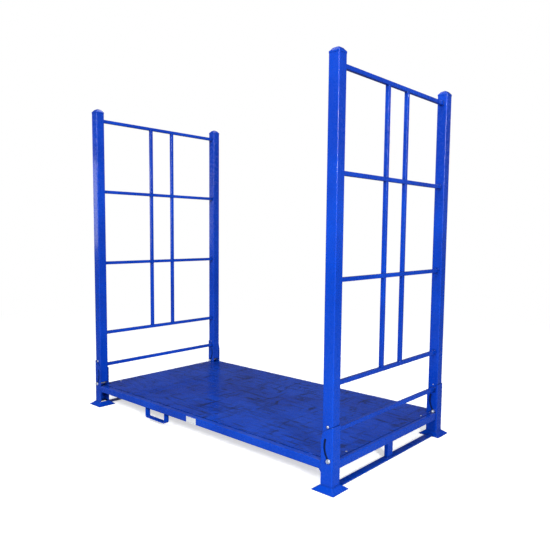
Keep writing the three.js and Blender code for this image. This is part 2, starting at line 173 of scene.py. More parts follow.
class Shape:
    """The points and faces of one or more closed skins."""

    def __init__(self, points, faces):
        self.points = np.array(points, float).reshape(-1, 3)
        self.faces = [tuple(face) for face in faces]

    def placed(self, matrix):
        """A copy moved by a 4x4 matrix, turned right side out again if the matrix mirrors it."""
        m = np.array(matrix)
        points = self.points @ m[:3, :3].T + m[:3, 3]
        mirrored = np.linalg.det(m[:3, :3]) < 0
        return Shape(points, [face[::-1] if mirrored else face for face in self.faces])

    def moved(self, x=0.0, y=0.0, z=0.0):
        return self.placed(Matrix.Translation((x, y, z)))


def joined(*shapes):
    points, faces, count = [], [], 0
    for shape in shapes:
        points.append(shape.points)
        faces += [tuple(index + count for index in face) for face in shape.faces]
        count += len(shape.points)
    return Shape(np.concatenate(points), faces)


def mirror(x_sign, y_sign):
    return Matrix.Diagonal((x_sign, y_sign, 1, 1))


# The axis of a piece drawn along +Z laid along +X or +Y.
ALONG_X = Matrix(((0, 0, 1, 0), (1, 0, 0, 0), (0, 1, 0, 0), (0, 0, 0, 1)))
ALONG_Y = Matrix(((0, 1, 0, 0), (0, 0, 1, 0), (1, 0, 0, 0), (0, 0, 0, 1)))


def loft(rings, loop=False):
    """A skin over rings of equal length. Its two ends are filled, or joined if it is a loop."""
    size, count = len(rings[0]), len(rings)
    faces = []
    for ring in range(count if loop else count - 1):
        low, high = ring * size, (ring + 1) % count * size
        for i in range(size):
            j = (i + 1) % size
            faces.append((low + i, low + j, high + j, high + i))
    if not loop:
        faces.append(tuple(reversed(range(size))))
        faces.append(tuple(range((count - 1) * size, count * size)))
    return Shape([point for ring in rings for point in ring], faces)


def arc(centre_x, centre_y, radius, start, end, steps):
    """Points along an arc, its ends included; angles in radians."""
    angles = [start + (end - start) * step / steps for step in range(steps + 1)]
    return [(centre_x + radius * math.cos(a), centre_y + radius * math.sin(a)) for a in angles]


def rounded_rectangle(width, depth, radius, steps=6):
    """A closed anticlockwise outline centred on the origin."""
    x, y = width / 2 - radius, depth / 2 - radius
    outline = []
    for turn, (side_x, side_y) in enumerate(((1, 1), (-1, 1), (-1, -1), (1, -1))):
        start = turn * QUARTER
        outline += arc(side_x * x, side_y * y, radius, start, start + QUARTER, steps)
    return outline


def circle(centre_x, centre_y, radius, count=32):
    return arc(centre_x, centre_y, radius, 0, 2 * math.pi, count)[:-1]


def rounded_corner(before, corner, after, radius, steps=4):
    """The points that round one corner of an outline."""
    here = Vector(corner)
    back, onward = (Vector(before) - here).normalized(), (Vector(after) - here).normalized()
    half = back.angle(onward) / 2
    centre = here + (back + onward).normalized() * radius / math.sin(half)
    spoke = here + back * radius / math.tan(half) - centre
    sweep = math.pi - 2 * half
    if back.x * onward.y - back.y * onward.x > 0:
        sweep = -sweep
    turns = [Matrix.Rotation(sweep * step / steps, 2) for step in range(steps + 1)]
    return [tuple(centre + turn @ spoke) for turn in turns]


def rounded_corners(corners, radius, steps=4):
    """A closed outline with its corners rounded."""
    outline = []
    for index, corner in enumerate(corners):
        after = corners[(index + 1) % len(corners)]
        outline += rounded_corner(corners[index - 1], corner, after, radius, steps)
    return outline


def quarter_bend(radius):
    """The move of a fold that turns it to the left by a right angle."""
    return (radius * QUARTER, QUARTER)


class Fold:
    """A path of straights and bends in a plane, which a sheet follows when it is bent."""

    def __init__(self, x, y, heading, moves, steps=6):
        self.parts, self.bends, self.length = [], [], 0.0
        for length, turn in moves:
            self.parts.append((self.length, length, x, y, heading, turn))
            if turn:
                self.bends += [self.length + length * step / steps for step in range(steps + 1)]
            self.length += length
            x, y, heading = self._along(self.parts[-1], length)

    @staticmethod
    def _along(part, distance):
        _, length, x, y, heading, turn = part
        if not turn:
            return x + distance * math.cos(heading), y + distance * math.sin(heading), heading
        radius, end = length / turn, heading + turn * distance / length
        x += radius * (math.sin(end) - math.sin(heading))
        y -= radius * (math.cos(end) - math.cos(heading))
        return x, y, end

    def at(self, u, out):
        """The point at a distance u along the path and out to its right."""
        part = next(p for p in reversed(self.parts) if u >= p[0] - TINY or p is self.parts[0])
        x, y, heading = self._along(part, u - part[0])
        return x + out * math.sin(heading), y - out * math.cos(heading)


def inside(outline, points):
    """Which of the points lie inside a closed outline."""
    x, y = points[:, 0], points[:, 1]
    found = np.zeros(len(points), bool)
    for (x1, y1), (x2, y2) in zip(outline, outline[1:] + outline[:1]):
        if y1 != y2:
            crosses = (y1 > y) != (y2 > y)
            found ^= crosses & (x < (x2 - x1) * (y - y1) / (y2 - y1) + x1)
    return found


def split_at(outline, lines):
    """The outline with a point added wherever it crosses one of the lines u = constant."""
    result = []
    for (u1, v1), (u2, v2) in zip(outline, outline[1:] + outline[:1]):
        result.append((u1, v1))
        low, high = min(u1, u2), max(u1, u2)
        crossed = [u for u in lines if low + NEAR < u < high - NEAR]
        for u in sorted(crossed, reverse=u1 > u2):
            result.append((u, v1 + (v2 - v1) * (u - u1) / (u2 - u1)))
    return result


def on_seam(u, seam):
    return any(abs(u - line) < NEAR for line in seam)


def inset(outline, distance, seam=()):
    """The outline moved inwards. Points on a seam's two lines only move along them."""
    points = np.array(outline)
    ahead = np.roll(points, -1, axis=0) - points
    ahead /= np.linalg.norm(ahead, axis=1)[:, None]
    behind = np.roll(ahead, 1, axis=0)
    inwards = np.stack([-ahead[:, 1] - behind[:, 1], ahead[:, 0] + behind[:, 0]], axis=1)
    share = np.maximum(1 + (ahead * behind).sum(axis=1), SHARPEST_CORNER)
    moved = points + distance * inwards / share[:, None]
    if seam:
        for index, (u, v) in enumerate(outline):
            if on_seam(u, seam):
                moved[index] = (u, v + math.copysign(distance, inwards[index][1]))
    return [tuple(point) for point in moved]


def in_plate(loops, points):
    """Which of the points lie inside the outline and outside its holes."""
    within = inside(loops[0], points)
    for hole in loops[1:]:
        within &= ~inside(hole, points)
    return within


def rim_profile(thickness, rim):
    """The rings of a plate's rounded rim, each as how far in and how far out it lies."""
    steps = 2 if rim < 1 * MM else 3
    profile = []
    for step in range(steps + 1):
        angle = QUARTER * step / steps
        profile.append((rim * (1 - math.sin(angle)), thickness / 2 - rim * (1 - math.cos(angle))))
    return profile + [(depth, -out) for depth, out in reversed(profile)]


def bend_edges(loops, bends):
    """The edges along a plate's bend lines, as pairs of point numbers."""
    points = [point for loop in loops for point in loop]
    edges = []
    for u in bends:
        line = sorted((v, i) for i, (at, v) in enumerate(points) if abs(at - u) < NEAR)
        for (v1, i), (v2, j) in zip(line, line[1:]):
            if in_plate(loops, np.array([[u, (v1 + v2) / 2]]))[0]:
                edges.append((i, j))
    return edges


def flat_triangles(loops, edges):
    """The anticlockwise triangles between an outline and its holes that keep to the edges."""
    points = [point for loop in loops for point in loop]
    found = delaunay_2d_cdt([Vector(p) for p in points], edges, [], 0, TINY)
    first = [origins[0] for origins in found[3]]
    triangles = np.array([[first[i] for i in face] for face in found[2]])
    corners = np.array(points)[triangles]
    turned = np.cross(corners[:, 1] - corners[:, 0], corners[:, 2] - corners[:, 0])
    kept = in_plate(loops, corners.mean(axis=1)) & (np.abs(turned) > NO_AREA)
    for triangle, area in zip(triangles[kept], turned[kept]):
        yield [int(i) for i in (triangle if area > 0 else triangle[::-1])]


def plate(outline, thickness, place, holes=(), rim=CUT_EDGE, bends=(), seam=()):
    """A closed plate with rounded rims, drawn flat in u and v and put in place by
    place(u, v, out). Bends are the lines of constant u where it may turn. With a seam, the
    plate closes on itself where its first line of constant u meets its last."""
    loops = [split_at(loop, bends) for loop in (outline, *holes)]
    profile = rim_profile(thickness, min(rim, thickness / 2 - FLAT_LEFT))
    points, around, count = [], [], 0
    for loop in loops:
        numbers = range(count, count + len(loop))
        around += zip(numbers, [*numbers[1:], count], loop, loop[1:] + loop[:1])
        count += len(loop)
    edges = [(i, j) for i, j, _, _ in around] + bend_edges(loops, bends)
    last = (len(profile) - 1) * count
    faces = []
    for a, b, c in flat_triangles([inset(loop, profile[0][0], seam) for loop in loops], edges):
        faces += [(a, b, c), (last + c, last + b, last + a)]
    for depth, out in profile:
        for loop in loops:
            points += [place(u, v, out) for u, v in inset(loop, depth, seam)]
    for layer in range(0, last, count):
        for i, j, (u1, _), (u2, _) in around:
            if not (on_seam(u1, seam) and on_seam(u2, seam)):
                a, b = layer + i, layer + j
                faces.append((a, a + count, b + count, b))
    return Shape(points, faces)


def tube_fold(width, depth, radius, wall):
    """The middle line of a tube's wall, from the middle of its -x side, anticlockwise."""
    bend = radius - wall / 2
    half_x, half_y = (width - wall) / 2, (depth - wall) / 2
    long_x, long_y = 2 * (half_x - bend), 2 * (half_y - bend)
    turn = quarter_bend(bend)
    moves = [(long_y / 2, 0), turn, (long_x, 0), turn, (long_y, 0), turn]
    moves += [(long_x, 0), turn, (long_y / 2, 0)]
    return Fold(-half_x, 0, -QUARTER, moves)


def upright(fold):
    """Puts a sheet along a fold in x and y, with v as its height."""
    return lambda u, v, out: (*fold.at(u, out), v)


def square_tube(width, depth, radius, wall, length):
    """A tube along +Z from z = 0."""
    fold = tube_fold(width, depth, radius, wall)
    total = fold.length
    outline = [(0, 0), (total, 0), (total, length), (0, length)]
    return plate(outline, wall, upright(fold), bends=fold.bends, seam=(0, total))


def square_loft(profile, loop=False, steps=5):
    """A loft of rounded squares, each given as (half its side, corner radius, height)."""
    rings = []
    for half, radius, z in profile:
        rings.append([(x, y, z) for x, y in rounded_rectangle(2 * half, 2 * half, radius, steps)])
    return loft(rings, loop)


def turned(profile, count=32, loop=False):
    """A round body about +Z, from a profile of (radius, height) that starts and ends near it,
    or that closes on itself if it is a loop."""
    rings = [[(x, y, z) for x, y in circle(0, 0, radius, count)] for radius, z in profile]
    return loft(rings, loop)


def hexagon_nut(apothem, height, chamfered_ends, bore=0.0, count=48):
    """A hexagon along +Z from z = 0 with its corners chamfered at one or both ends. Without a
    bore its top is dished a little."""
    flat_radius = apothem * FLAT_SHARE
    inner = max(bore, flat_radius * DISH_SHARE)
    dish = 0.0 if bore else DISH_DEPTH
    angles = [2 * math.pi * i / count for i in range(count)]
    from_middle = [(a + math.pi / 6) % (math.pi / 3) - math.pi / 6 for a in angles]
    sides = [apothem / math.cos(a) for a in from_middle]
    drops = [max(side - flat_radius, 0) * math.tan(CHAMFER_ANGLE) for side in sides]

    def ring(radii, heights):
        return [(r * math.cos(a), r * math.sin(a), z) for r, a, z in zip(radii, angles, heights)]

    def round_ring(radius, z):
        return ring([radius] * count, [z] * count)

    if "low" in chamfered_ends:
        rings = [round_ring(flat_radius, 0), ring(sides, drops)]
    else:
        rings = [ring(sides, [0] * count)]
    rings += [ring(sides, [height - drop for drop in drops]), round_ring(flat_radius, height)]
    rings.append(round_ring(inner, height - dish))
    if bore:
        rings.append(round_ring(inner, 0))
    return loft(rings, loop=bool(bore))


def ripple_radius(radius, distance, phase):
    """The radius of a weld bead at a distance along it: overlapping ripples, a little uneven."""
    ripple = abs(math.sin(math.pi * distance / RIPPLE + phase))
    drift = math.sin(distance * 61 + phase * 3) + math.sin(distance * 173 + phase * 7)
    return radius * (0.9 + 0.16 * ripple + 0.04 * drift)


def bead_section(point, side_way, up_way, size, sides=8):
    """A round section of a weld bead."""
    section = []
    for side in range(sides):
        angle = 2 * math.pi * side / sides
        spoke = side_way * math.cos(angle) + up_way * math.sin(angle)
        section.append(tuple(point + spoke * size))
    return section


def weld_ring(outline, radius, phase=0.0):
    """A weld bead round a closed outline in the plane z = 0."""
    points = [Vector((*point, 0)) for point in dense(outline + outline[:1], RIPPLE / 4)[:-1]]
    up_way = Vector((0, 0, 1))
    distance, rings = 0.0, []
    for index, point in enumerate(points):
        after = points[(index + 1) % len(points)]
        along = (after - points[index - 1]).normalized()
        size = ripple_radius(radius, distance, phase)
        rings.append(bead_section(point, along.cross(up_way), up_way, size)[::-1])
        distance += (after - point).length
    return loft(rings, loop=True)


def weld_run(path, radius, phase=0.0):
    """A weld bead along an open path in space, tapering off at its ends."""
    points = [Vector(point) for point in dense(path, RIPPLE / 4)]
    lengths = [(b - a).length for a, b in zip(points, points[1:])] + [0.0]
    side_way = (points[1] - points[0]).orthogonal()
    distance, rings = 0.0, []
    for index, point in enumerate(points):
        before, after = points[max(index - 1, 0)], points[min(index + 1, len(points) - 1)]
        along = (after - before).normalized()
        side_way = (side_way - along * along.dot(side_way)).normalized()
        from_end = min(distance, sum(lengths) - distance)
        taper = math.sqrt(min(1.0, (from_end + 0.3 * MM) / (radius * 1.2)))
        size = ripple_radius(radius, distance, phase) * taper
        rings.append(bead_section(point, side_way, along.cross(side_way), size))
        distance += lengths[index]
    return loft(rings)


def dense(path, spacing):
    """The path with points added so that none are further apart than the spacing."""
    result = [tuple(path[0])]
    for start, end in zip(path, path[1:]):
        a, b = Vector(start), Vector(end)
        parts = max(1, math.ceil((b - a).length / spacing))
        result += [tuple(a + (b - a) * part / parts) for part in range(1, parts + 1)]
    return result


# ---- Materials ----


class Nodes:
    """Writes the node tree of a material, or of the world."""

    def __init__(self, owner):
        self.owner = owner
        owner.use_nodes = True
        self.tree = owner.node_tree
        self.tree.nodes.clear()
        coordinates = self.tree.nodes.new("ShaderNodeTexCoord").outputs
        self.place, self.facing = coordinates["Object"], coordinates["Normal"]
        self.direction = coordinates["Generated"]

    def add(self, kind, inputs=(), output=0, **settings):
        """Adds a node, fills its inputs with values or links, returns one of its outputs."""
        node = self.tree.nodes.new("ShaderNode" + kind)
        for key, value in settings.items():
            setattr(node, key, value)
        for key, value in dict(inputs).items():
            if isinstance(value, bpy.types.NodeSocket):
                self.tree.links.new(value, node.inputs[key])
            else:
                node.inputs[key].default_value = value
        return node.outputs[output] if node.outputs else None

    def stretched(self, *scale):
        """The point's place with each axis scaled, so that a pattern runs along the least one."""
        return self.add("Mapping", {"Vector": self.place, "Scale": scale})

    def noise(self, scale, detail=2.0, roughness=0.5, vector=None, distortion=0.0):
        """Noise with about as many blotches to a metre as its scale."""
        inputs = {"Vector": vector or self.place, "Scale": scale, "Detail": detail}
        inputs |= {"Roughness": roughness, "Distortion": distortion}
        return self.add("TexNoise", inputs)

    def ramp(self, value, start, end, low=0.0, high=1.0):
        """Runs smoothly from low to high while the value runs from start to end."""
        inputs = {"Value": value, "From Min": start, "From Max": end}
        inputs |= {"To Min": low, "To Max": high}
        return self.add("MapRange", inputs, interpolation_type="SMOOTHSTEP")

    def maths(self, operation, a, b=0.0):
        return self.add("Math", {0: a, 1: b}, operation=operation)

    def plus(self, a, b):
        return self.maths("ADD", a, b)

    def times(self, a, b):
        return self.maths("MULTIPLY", a, b)

    def distance(self, a, b):
        return self.maths("ABSOLUTE", self.maths("SUBTRACT", a, b))

    def axis(self, name, vector=None):
        """One coordinate of a vector, or of the point's place."""
        return self.add("SeparateXYZ", {"Vector": vector or self.place}, output=name)

    def length(self, vector):
        return self.add("VectorMath", {0: vector}, output="Value", operation="LENGTH")

    def mix(self, share, a, b):
        """The colour a where the share is 0, and b where it is 1."""
        return self.add("Mix", {0: share, 6: a, 7: b}, output=2, data_type="RGBA")

    def bump(self, height, distance, strength=1.0, normal=None):
        inputs = {"Height": height, "Distance": distance, "Strength": strength}
        if normal:
            inputs["Normal"] = normal
        return self.add("Bump", inputs)

    def edges(self, radius, sharpest, softest):
        """How much a point lies on an edge: 1 on it, 0 away from it."""
        rounded = self.add("Bevel", {"Radius": radius}, samples=4)
        true_normal = self.add("NewGeometry", output="Normal")
        alike = self.add(
            "VectorMath", {0: rounded, 1: true_normal}, output="Value", operation="DOT_PRODUCT"
        )
        return self.ramp(alike, softest, sharpest)

    def crevice(self, reach):
        """How shut in a point is, for painting shade into crevices: 0 in the open, 1 deep in a
        gap.
        """
        inputs = {"Distance": reach}
        openness = self.add("AmbientOcclusion", inputs, output="AO", samples=6)
        return self.ramp(openness, 0.95, 0.4)

    def upwards(self, start):
        """How much a point faces up while the rack stands at rest."""
        return self.ramp(self.axis("Z", self.facing), start, 1.0)

    def finish(self, **inputs):
        names = {key.replace("_", " "): value for key, value in inputs.items()}
        shader = self.add("BsdfPrincipled", names)
        self.add("OutputMaterial", {"Surface": shader})
        return self.owner


DEEP_BLUE = (0.0008, 0.050, 0.50, 1)
BRIGHT_BLUE = (0.0016, 0.072, 0.64, 1)
THIN_BLUE = (0.008, 0.100, 0.60, 1)
# painted shade for crevices, gaps and joints
CREVICE_SHADE_BLUE = (0.0006, 0.007, 0.055, 1)
DUST = (0.30, 0.33, 0.38, 1)
# dark rubber marks, also used as painted shade of tyres on the deck
RUBBER_MARK_AND_SHADE = (0.006, 0.009, 0.016, 1)
# painted shade for the post seen through a socket's slot
SLOT_SHADE_BLUE = (0.0012, 0.008, 0.050, 1)
BARE_STEEL = (0.23, 0.24, 0.26, 1)
ZINC_BLUE, ZINC_PALE = (0.78, 0.84, 0.94, 1), (0.86, 0.87, 0.86, 1)
ZINC_EDGE, ZINC_STAIN = (0.94, 0.96, 1.0, 1), (0.42, 0.45, 0.50, 1)
NYLON_DARK, NYLON_LIGHT = (0.55, 0.62, 0.70, 1), (0.70, 0.74, 0.78, 1)
FILM_GREY, FILM_WHITE = (0.80, 0.81, 0.82, 1), (0.87, 0.88, 0.88, 1)
PRINTED_LINE = (0.35, 0.38, 0.45, 1)
FLOOR_GREY, FLOOR_PALE = (0.83, 0.84, 0.85, 1), (0.87, 0.88, 0.88, 1)
FLOOR_MIRRORED = (0.24, 0.30, 0.42, 1)
WHITE = (1, 1, 1, 1)


def behind_slot(n):
    """The band of a post that shows through its socket's slot, where shade is painted: 1 within
    it, 0 elsewhere.
    """
    z = n.axis("Z")
    across = n.maths("SUBTRACT", n.maths("ABSOLUTE", n.axis("X")), CORNER_X + ARC_X)
    arm = n.add("CombineXYZ", {"X": across, "Z": n.maths("SUBTRACT", z, ARC_Z)})
    off_track = n.distance(n.length(arm), math.hypot(ARC_X - PIVOT_X, ARC_Z - PIVOT_Z))
    on_track = n.ramp(off_track, 0.9 * SLOT_WIDTH, 0.5 * SLOT_WIDTH)
    below_top = n.ramp(z, SLOT_TOP_Z + SLOT_WIDTH, SLOT_TOP_Z)
    on_side = n.ramp(n.maths("ABSOLUTE", n.axis("Y", n.facing)), 0.7, 0.95)
    return n.times(on_side, n.times(on_track, below_top))


def tyre_marks_and_shade(n):
    """Where tyres have rubbed the deck, laid on dark and wide enough to also paint the shade of
    tyres resting on it: streaks along the rack and curved ones across it.
    """
    streaks = n.noise(5.0, 5, 0.6, n.stretched(1.0, 9.0, 1.0), distortion=0.8)
    arcs = n.noise(3.0, 6, 0.65, n.stretched(5.0, 1.2, 1.0), distortion=1.6)
    return n.maths("MAXIMUM", n.ramp(streaks, 0.50, 0.68), n.ramp(arcs, 0.52, 0.68))


def chipping(n, edge, below):
    """Where paint has come off the edges near the floor, up to a height."""
    near_floor = n.ramp(n.axis("Z"), below, 0.0)
    chipped = n.ramp(n.noise(140, detail=5, roughness=0.7), 0.56, 0.60)
    return n.times(n.times(near_floor, chipped), edge)


def orange_peel(n, waviness):
    """The relief of powder coat: slow waves, and two sizes of fine dimples."""
    waves = n.bump(n.noise(9, detail=1), 1.1 * MM, waviness)
    peel = n.bump(n.noise(330, detail=2, roughness=0.4), 0.05 * MM, 0.55, normal=waves)
    return n.bump(n.noise(900, detail=1), 0.012 * MM, 0.5, normal=peel)


def powder_coat(
    name, dust=0.10, rub_marks_and_shade=0.0, waviness=0.35, shine=0.3, chips_below=0.0, slot_shade=False
):
    """Glossy blue powder coat: orange peel, slight clouding, thin at the edges, painted shade in
    the crevices. It may carry dust, tyre marks that also paint tyre shade, chipped edges or
    painted shade behind a slot."""
    n = Nodes(bpy.data.materials.new(name))
    clouds = n.ramp(n.noise(2.3, detail=3), 0.32, 0.68)
    edge = n.edges(1.6 * MM, 0.80, 0.97)
    colour = n.mix(n.times(edge, 0.45), n.mix(clouds, DEEP_BLUE, BRIGHT_BLUE), THIN_BLUE)

    roughness = n.ramp(n.noise(30, detail=4, roughness=0.6), 0.25, 0.75, 0.20, 0.33)
    handled = n.ramp(n.noise(7, detail=5, roughness=0.65), 0.52, 0.72)
    roughness = n.plus(roughness, n.times(handled, 0.10))

    dusty = n.times(n.upwards(0.75), n.ramp(n.noise(11, detail=6), 0.38, 0.75))
    colour = n.mix(n.times(dusty, dust), colour, DUST)
    roughness = n.plus(roughness, n.times(dusty, dust * 1.5))

    # Tyre rub marks, partly real wear and partly painted shade that stands for tyres shading the
    # deck.
    if rub_marks_and_shade:
        marks = tyre_marks_and_shade(n)
        colour = n.mix(n.times(marks, rub_marks_and_shade), colour, RUBBER_MARK_AND_SHADE)
        roughness = n.plus(roughness, n.times(marks, 0.16 * rub_marks_and_shade))

    # Painted shade: the colour darkens where ambient occlusion finds crevices, gaps and joints.
    colour = n.mix(n.times(n.crevice(18 * MM), 0.92), colour, CREVICE_SHADE_BLUE)

    # Painted shade: the post seen through its socket's slot is darkened as if shadowed inside the
    # gap.
    if slot_shade:
        patches = n.ramp(n.noise(24, detail=5), 0.2, 0.6, 0.75, 0.97)
        slot_shade_share = n.times(behind_slot(n), patches)
        colour = n.mix(slot_shade_share, colour, SLOT_SHADE_BLUE)
        roughness = n.plus(roughness, n.times(slot_shade_share, 0.2))

    coat = shine
    if chips_below:
        chips = chipping(n, edge, chips_below)
        colour = n.mix(chips, colour, BARE_STEEL)
        coat = n.times(n.maths("SUBTRACT", 1.0, chips), shine)

    peel = orange_peel(n, waviness)
    return n.finish(
        Base_Color=colour, Roughness=roughness, Normal=peel, Specular_IOR_Level=shine,
        Coat_Weight=coat, Coat_Roughness=0.09, Coat_Normal=peel,
    )


def zinc_plate():
    """Bright zinc, bluish in places, a little stained, with fine turning marks."""
    n = Nodes(bpy.data.materials.new("zinc_plate"))
    colour = n.mix(n.ramp(n.noise(90, detail=3), 0.35, 0.65), ZINC_BLUE, ZINC_PALE)
    colour = n.mix(n.edges(0.5 * MM, 0.75, 0.97), colour, ZINC_EDGE)
    stains = n.ramp(n.noise(400, detail=4, roughness=0.7), 0.55, 0.75)
    colour = n.mix(n.times(stains, 0.25), colour, ZINC_STAIN)
    roughness = n.ramp(n.noise(260, detail=4, roughness=0.6), 0.3, 0.7, 0.28, 0.48)
    marks = n.noise(1500, 2, 0.5, n.stretched(1.0, 0.15, 1.0))
    normal = n.bump(marks, 0.02 * MM, 0.6)
    return n.finish(Base_Color=colour, Metallic=0.7, Roughness=roughness, Normal=normal)


def nylon_insert():
    """Pale, slightly translucent nylon."""
    n = Nodes(bpy.data.materials.new("nylon_insert"))
    colour = n.mix(n.noise(300, detail=3), NYLON_DARK, NYLON_LIGHT)
    normal = n.bump(n.noise(900, detail=2), 0.03 * MM)
    return n.finish(
        Base_Color=colour, Roughness=0.42, Normal=normal, Subsurface_Weight=0.15,
        Subsurface_Scale=1 * MM,
    )


def printed_frame(n):
    """A hairline that follows the label's rim: 1 on it, 0 elsewhere."""
    low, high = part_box("label_plate")
    centre, half = (low + high) / 2, (high - low) / 2
    from_side = n.maths("SUBTRACT", half.x, n.distance(n.axis("X"), centre.x))
    from_top = n.maths("SUBTRACT", half.z, n.distance(n.axis("Z"), centre.z))
    off_line = n.distance(n.maths("MINIMUM", from_side, from_top), 3.2 * MM)
    return n.ramp(off_line, 0.45 * MM, 0.25 * MM)


def label_film():
    """Blank white film with a hairline frame, a little grey and wavy where it is stuck."""
    n = Nodes(bpy.data.materials.new("label_film"))
    paper = n.mix(n.ramp(n.noise(25, detail=4), 0.3, 0.7), FILM_GREY, FILM_WHITE)
    colour = n.mix(n.times(printed_frame(n), 0.6), paper, PRINTED_LINE)
    smears = n.ramp(n.noise(60, detail=5, roughness=0.7), 0.55, 0.75)
    colour = n.mix(n.times(smears, 0.15), colour, DUST)
    roughness = n.ramp(n.noise(120, detail=3), 0.3, 0.7, 0.30, 0.5)
    normal = n.bump(n.noise(45, detail=2), 0.35 * MM, 0.5)
    return n.finish(Base_Color=colour, Roughness=roughness, Normal=normal)


tube_paint = powder_coat("blue_powder_coat")
frame_paint = powder_coat("frame_powder_coat", dust=0.05, waviness=0.12)
post_paint = powder_coat("post_powder_coat", dust=0.05, waviness=0.12, slot_shade=True)
deck_paint = powder_coat("deck_powder_coat", dust=0.03, rub_marks_and_shade=0.75, waviness=0.8, shine=0.2)
foot_paint = powder_coat("foot_powder_coat", dust=0.12, chips_below=16 * MM)
weld_paint = powder_coat("weld_powder_coat", dust=0.03, waviness=0.1)
zinc = zinc_plate()
nylon = nylon_insert()
label_paper = label_film()

BLUE_SLOT, ZINC_SLOT, LABEL_SLOT = "blue_powder_coat", "zinc_plate", "label_film"

# ---- Pieces ----


def new_object(name, data):
    made = bpy.data.objects.new(name, data)
    bpy.context.scene.collection.objects.link(made)
    return made


def piece(name, shape, material, body, slot=BLUE_SLOT, stands_for=()):
    """Makes a shape into an object that rides on a body, in place of the CAD nodes named."""
    points = bmesh.new()
    corners = [points.verts.new(point) for point in shape.points]
    for face in shape.faces:
        points.faces.new([corners[i] for i in face])
    bmesh.ops.remove_doubles(points, verts=points.verts, dist=0.001 * MM)
    mesh = bpy.data.meshes.new(name)
    points.to_mesh(mesh)
    points.free()
    mesh.materials.append(material)
    mesh.polygons.foreach_set("use_smooth", [True] * len(mesh.polygons))
    mesh.set_sharp_from_angle(angle=SMOOTH_ANGLE)
    made = new_object(name, mesh)
    even = made.modifiers.new("even_normals", "WEIGHTED_NORMAL")
    even.keep_sharp = True
    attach(made, body)
    if stands_for:
        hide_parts(*stands_for)


def finished(node, shape, material, body, slot=BLUE_SLOT):
    """A piece that takes the place of one CAD node."""
    piece(node + "_finished", shape, material, body, slot, [node])


def tube_in_box(low, high, axis, corner, wall):
    """A tube that fills a box, along one of the frame's axes."""
    size, middle = high - low, (low + high) / 2
    if axis == "x":
        shape = square_tube(size.y, size.z, corner, wall, size.x).placed(ALONG_X)
        return shape.moved(low.x, middle.y, middle.z)
    if axis == "y":
        shape = square_tube(size.z, size.x, corner, wall, size.y).placed(ALONG_Y)
        return shape.moved(middle.x, low.y, middle.z)
    shape = square_tube(size.x, size.y, corner, wall, size.z)
    return shape.moved(middle.x, middle.y, low.z)


# Corner pieces, in the corner's own frame, and the deck's screw about its own axis.


def post_shape():
    """A post's tube, with its sloped and rounded lower end and its holes."""
    side = 2 * HALF_POST
    fold = tube_fold(side, side, POST_CORNER, POST_WALL)
    slope_x = PIVOT_X - POST_END_RADIUS * math.sin(POST_END_SLOPE)
    slope_z = PIVOT_Z - POST_END_RADIUS * math.cos(POST_END_SLOPE)

    def end_height(u):
        x = fold.at(u, 0)[0]
        if x < slope_x:
            return slope_z + (slope_x - x) * math.tan(POST_END_SLOPE)
        return PIVOT_Z - math.sqrt(POST_END_RADIUS**2 - (x - PIVOT_X) ** 2)

    even = [fold.length * step / POST_END_STEPS for step in range(POST_END_STEPS + 1)]
    stops = sorted({round(u, 9) for u in even + fold.bends})
    outline = [(u, end_height(u)) for u in stops] + [(fold.length, POST_TOP), (0, POST_TOP)]
    inner_side, outer_side = fold.parts[2], fold.parts[6]
    holes = []
    for x, z, radius in ((PIVOT_X, PIVOT_Z, PIVOT_HOLE), (PIN_X, PIN_Z, PIN_HOLE)):
        for u in (inner_side[0] + x - inner_side[2], outer_side[0] + outer_side[2] - x):
            holes.append(circle(u, z, radius)[::-1])
    return plate(
        outline, POST_WALL, upright(fold), holes, bends=fold.bends, seam=(0, fold.length)
    )


def slot_outline():
    """The slot that the pivot bolt rides in, in x and z, anticlockwise."""
    radius = math.hypot(PIVOT_X - ARC_X, PIVOT_Z - ARC_Z)
    low = math.atan2(PIVOT_Z - ARC_Z, PIVOT_X - ARC_X) + 2 * math.pi
    top = math.pi - math.asin((SLOT_TOP_Z - ARC_Z) / radius)
    half = SLOT_WIDTH / 2

    def end(angle, start):
        x, z = ARC_X + radius * math.cos(angle), ARC_Z + radius * math.sin(angle)
        return arc(x, z, half, start, start + math.pi, 10)[1:-1]

    return (
        arc(ARC_X, ARC_Z, radius + half, top, low, 28) + end(low, low)
        + arc(ARC_X, ARC_Z, radius - half, low, top, 28) + end(top, top + math.pi)
    )


def socket_shape():
    """The channel round a post's foot, with the slots in its two flanges."""
    bend = SOCKET_BEND - PLATE / 2
    flange_y, web_x = SOCKET_FLANGE - PLATE / 2, SOCKET_WEB - PLATE / 2
    flange = web_x - bend - SOCKET_OPEN
    turn = quarter_bend(bend)
    moves = [(flange, 0), turn, (2 * (flange_y - bend), 0), turn, (flange, 0)]
    fold = Fold(SOCKET_OPEN, -flange_y, 0, moves)
    total = fold.length
    corners = [
        (0, SOCKET_BOTTOM),
        (total, SOCKET_BOTTOM),
        (total, SOCKET_CUT_Z),
        (total - (SOCKET_CUT_X - SOCKET_OPEN), SOCKET_CORNER_TOP),
        (total - flange - bend / 2, SOCKET_TOP),
        (flange - bend, SOCKET_TOP),
        (INNER_FLANGE_RISE - SOCKET_OPEN, INNER_FLANGE_TOP),
        (0, INNER_FLANGE_TOP),
    ]
    slot = slot_outline()
    holes = [
        [(x - SOCKET_OPEN, z) for x, z in reversed(slot)],
        [(total - x + SOCKET_OPEN, z) for x, z in slot],
    ]
    return plate(
        rounded_corners(corners, 2.5 * MM), PLATE, upright(fold), holes, bends=fold.bends
    )


def seat_shape():
    """The plate inside a socket that the post stands on."""
    outer, inner = SOCKET_WEB - PLATE, SOCKET_OPEN
    across = 2 * (SOCKET_FLANGE - PLATE)
    middle, z = (outer + inner) / 2, SEAT_TOP - SEAT_THICKNESS / 2
    outline = rounded_rectangle(outer - inner, across, 2 * MM)
    return plate(outline, SEAT_THICKNESS, lambda u, v, out: (u + middle, v, z + out))


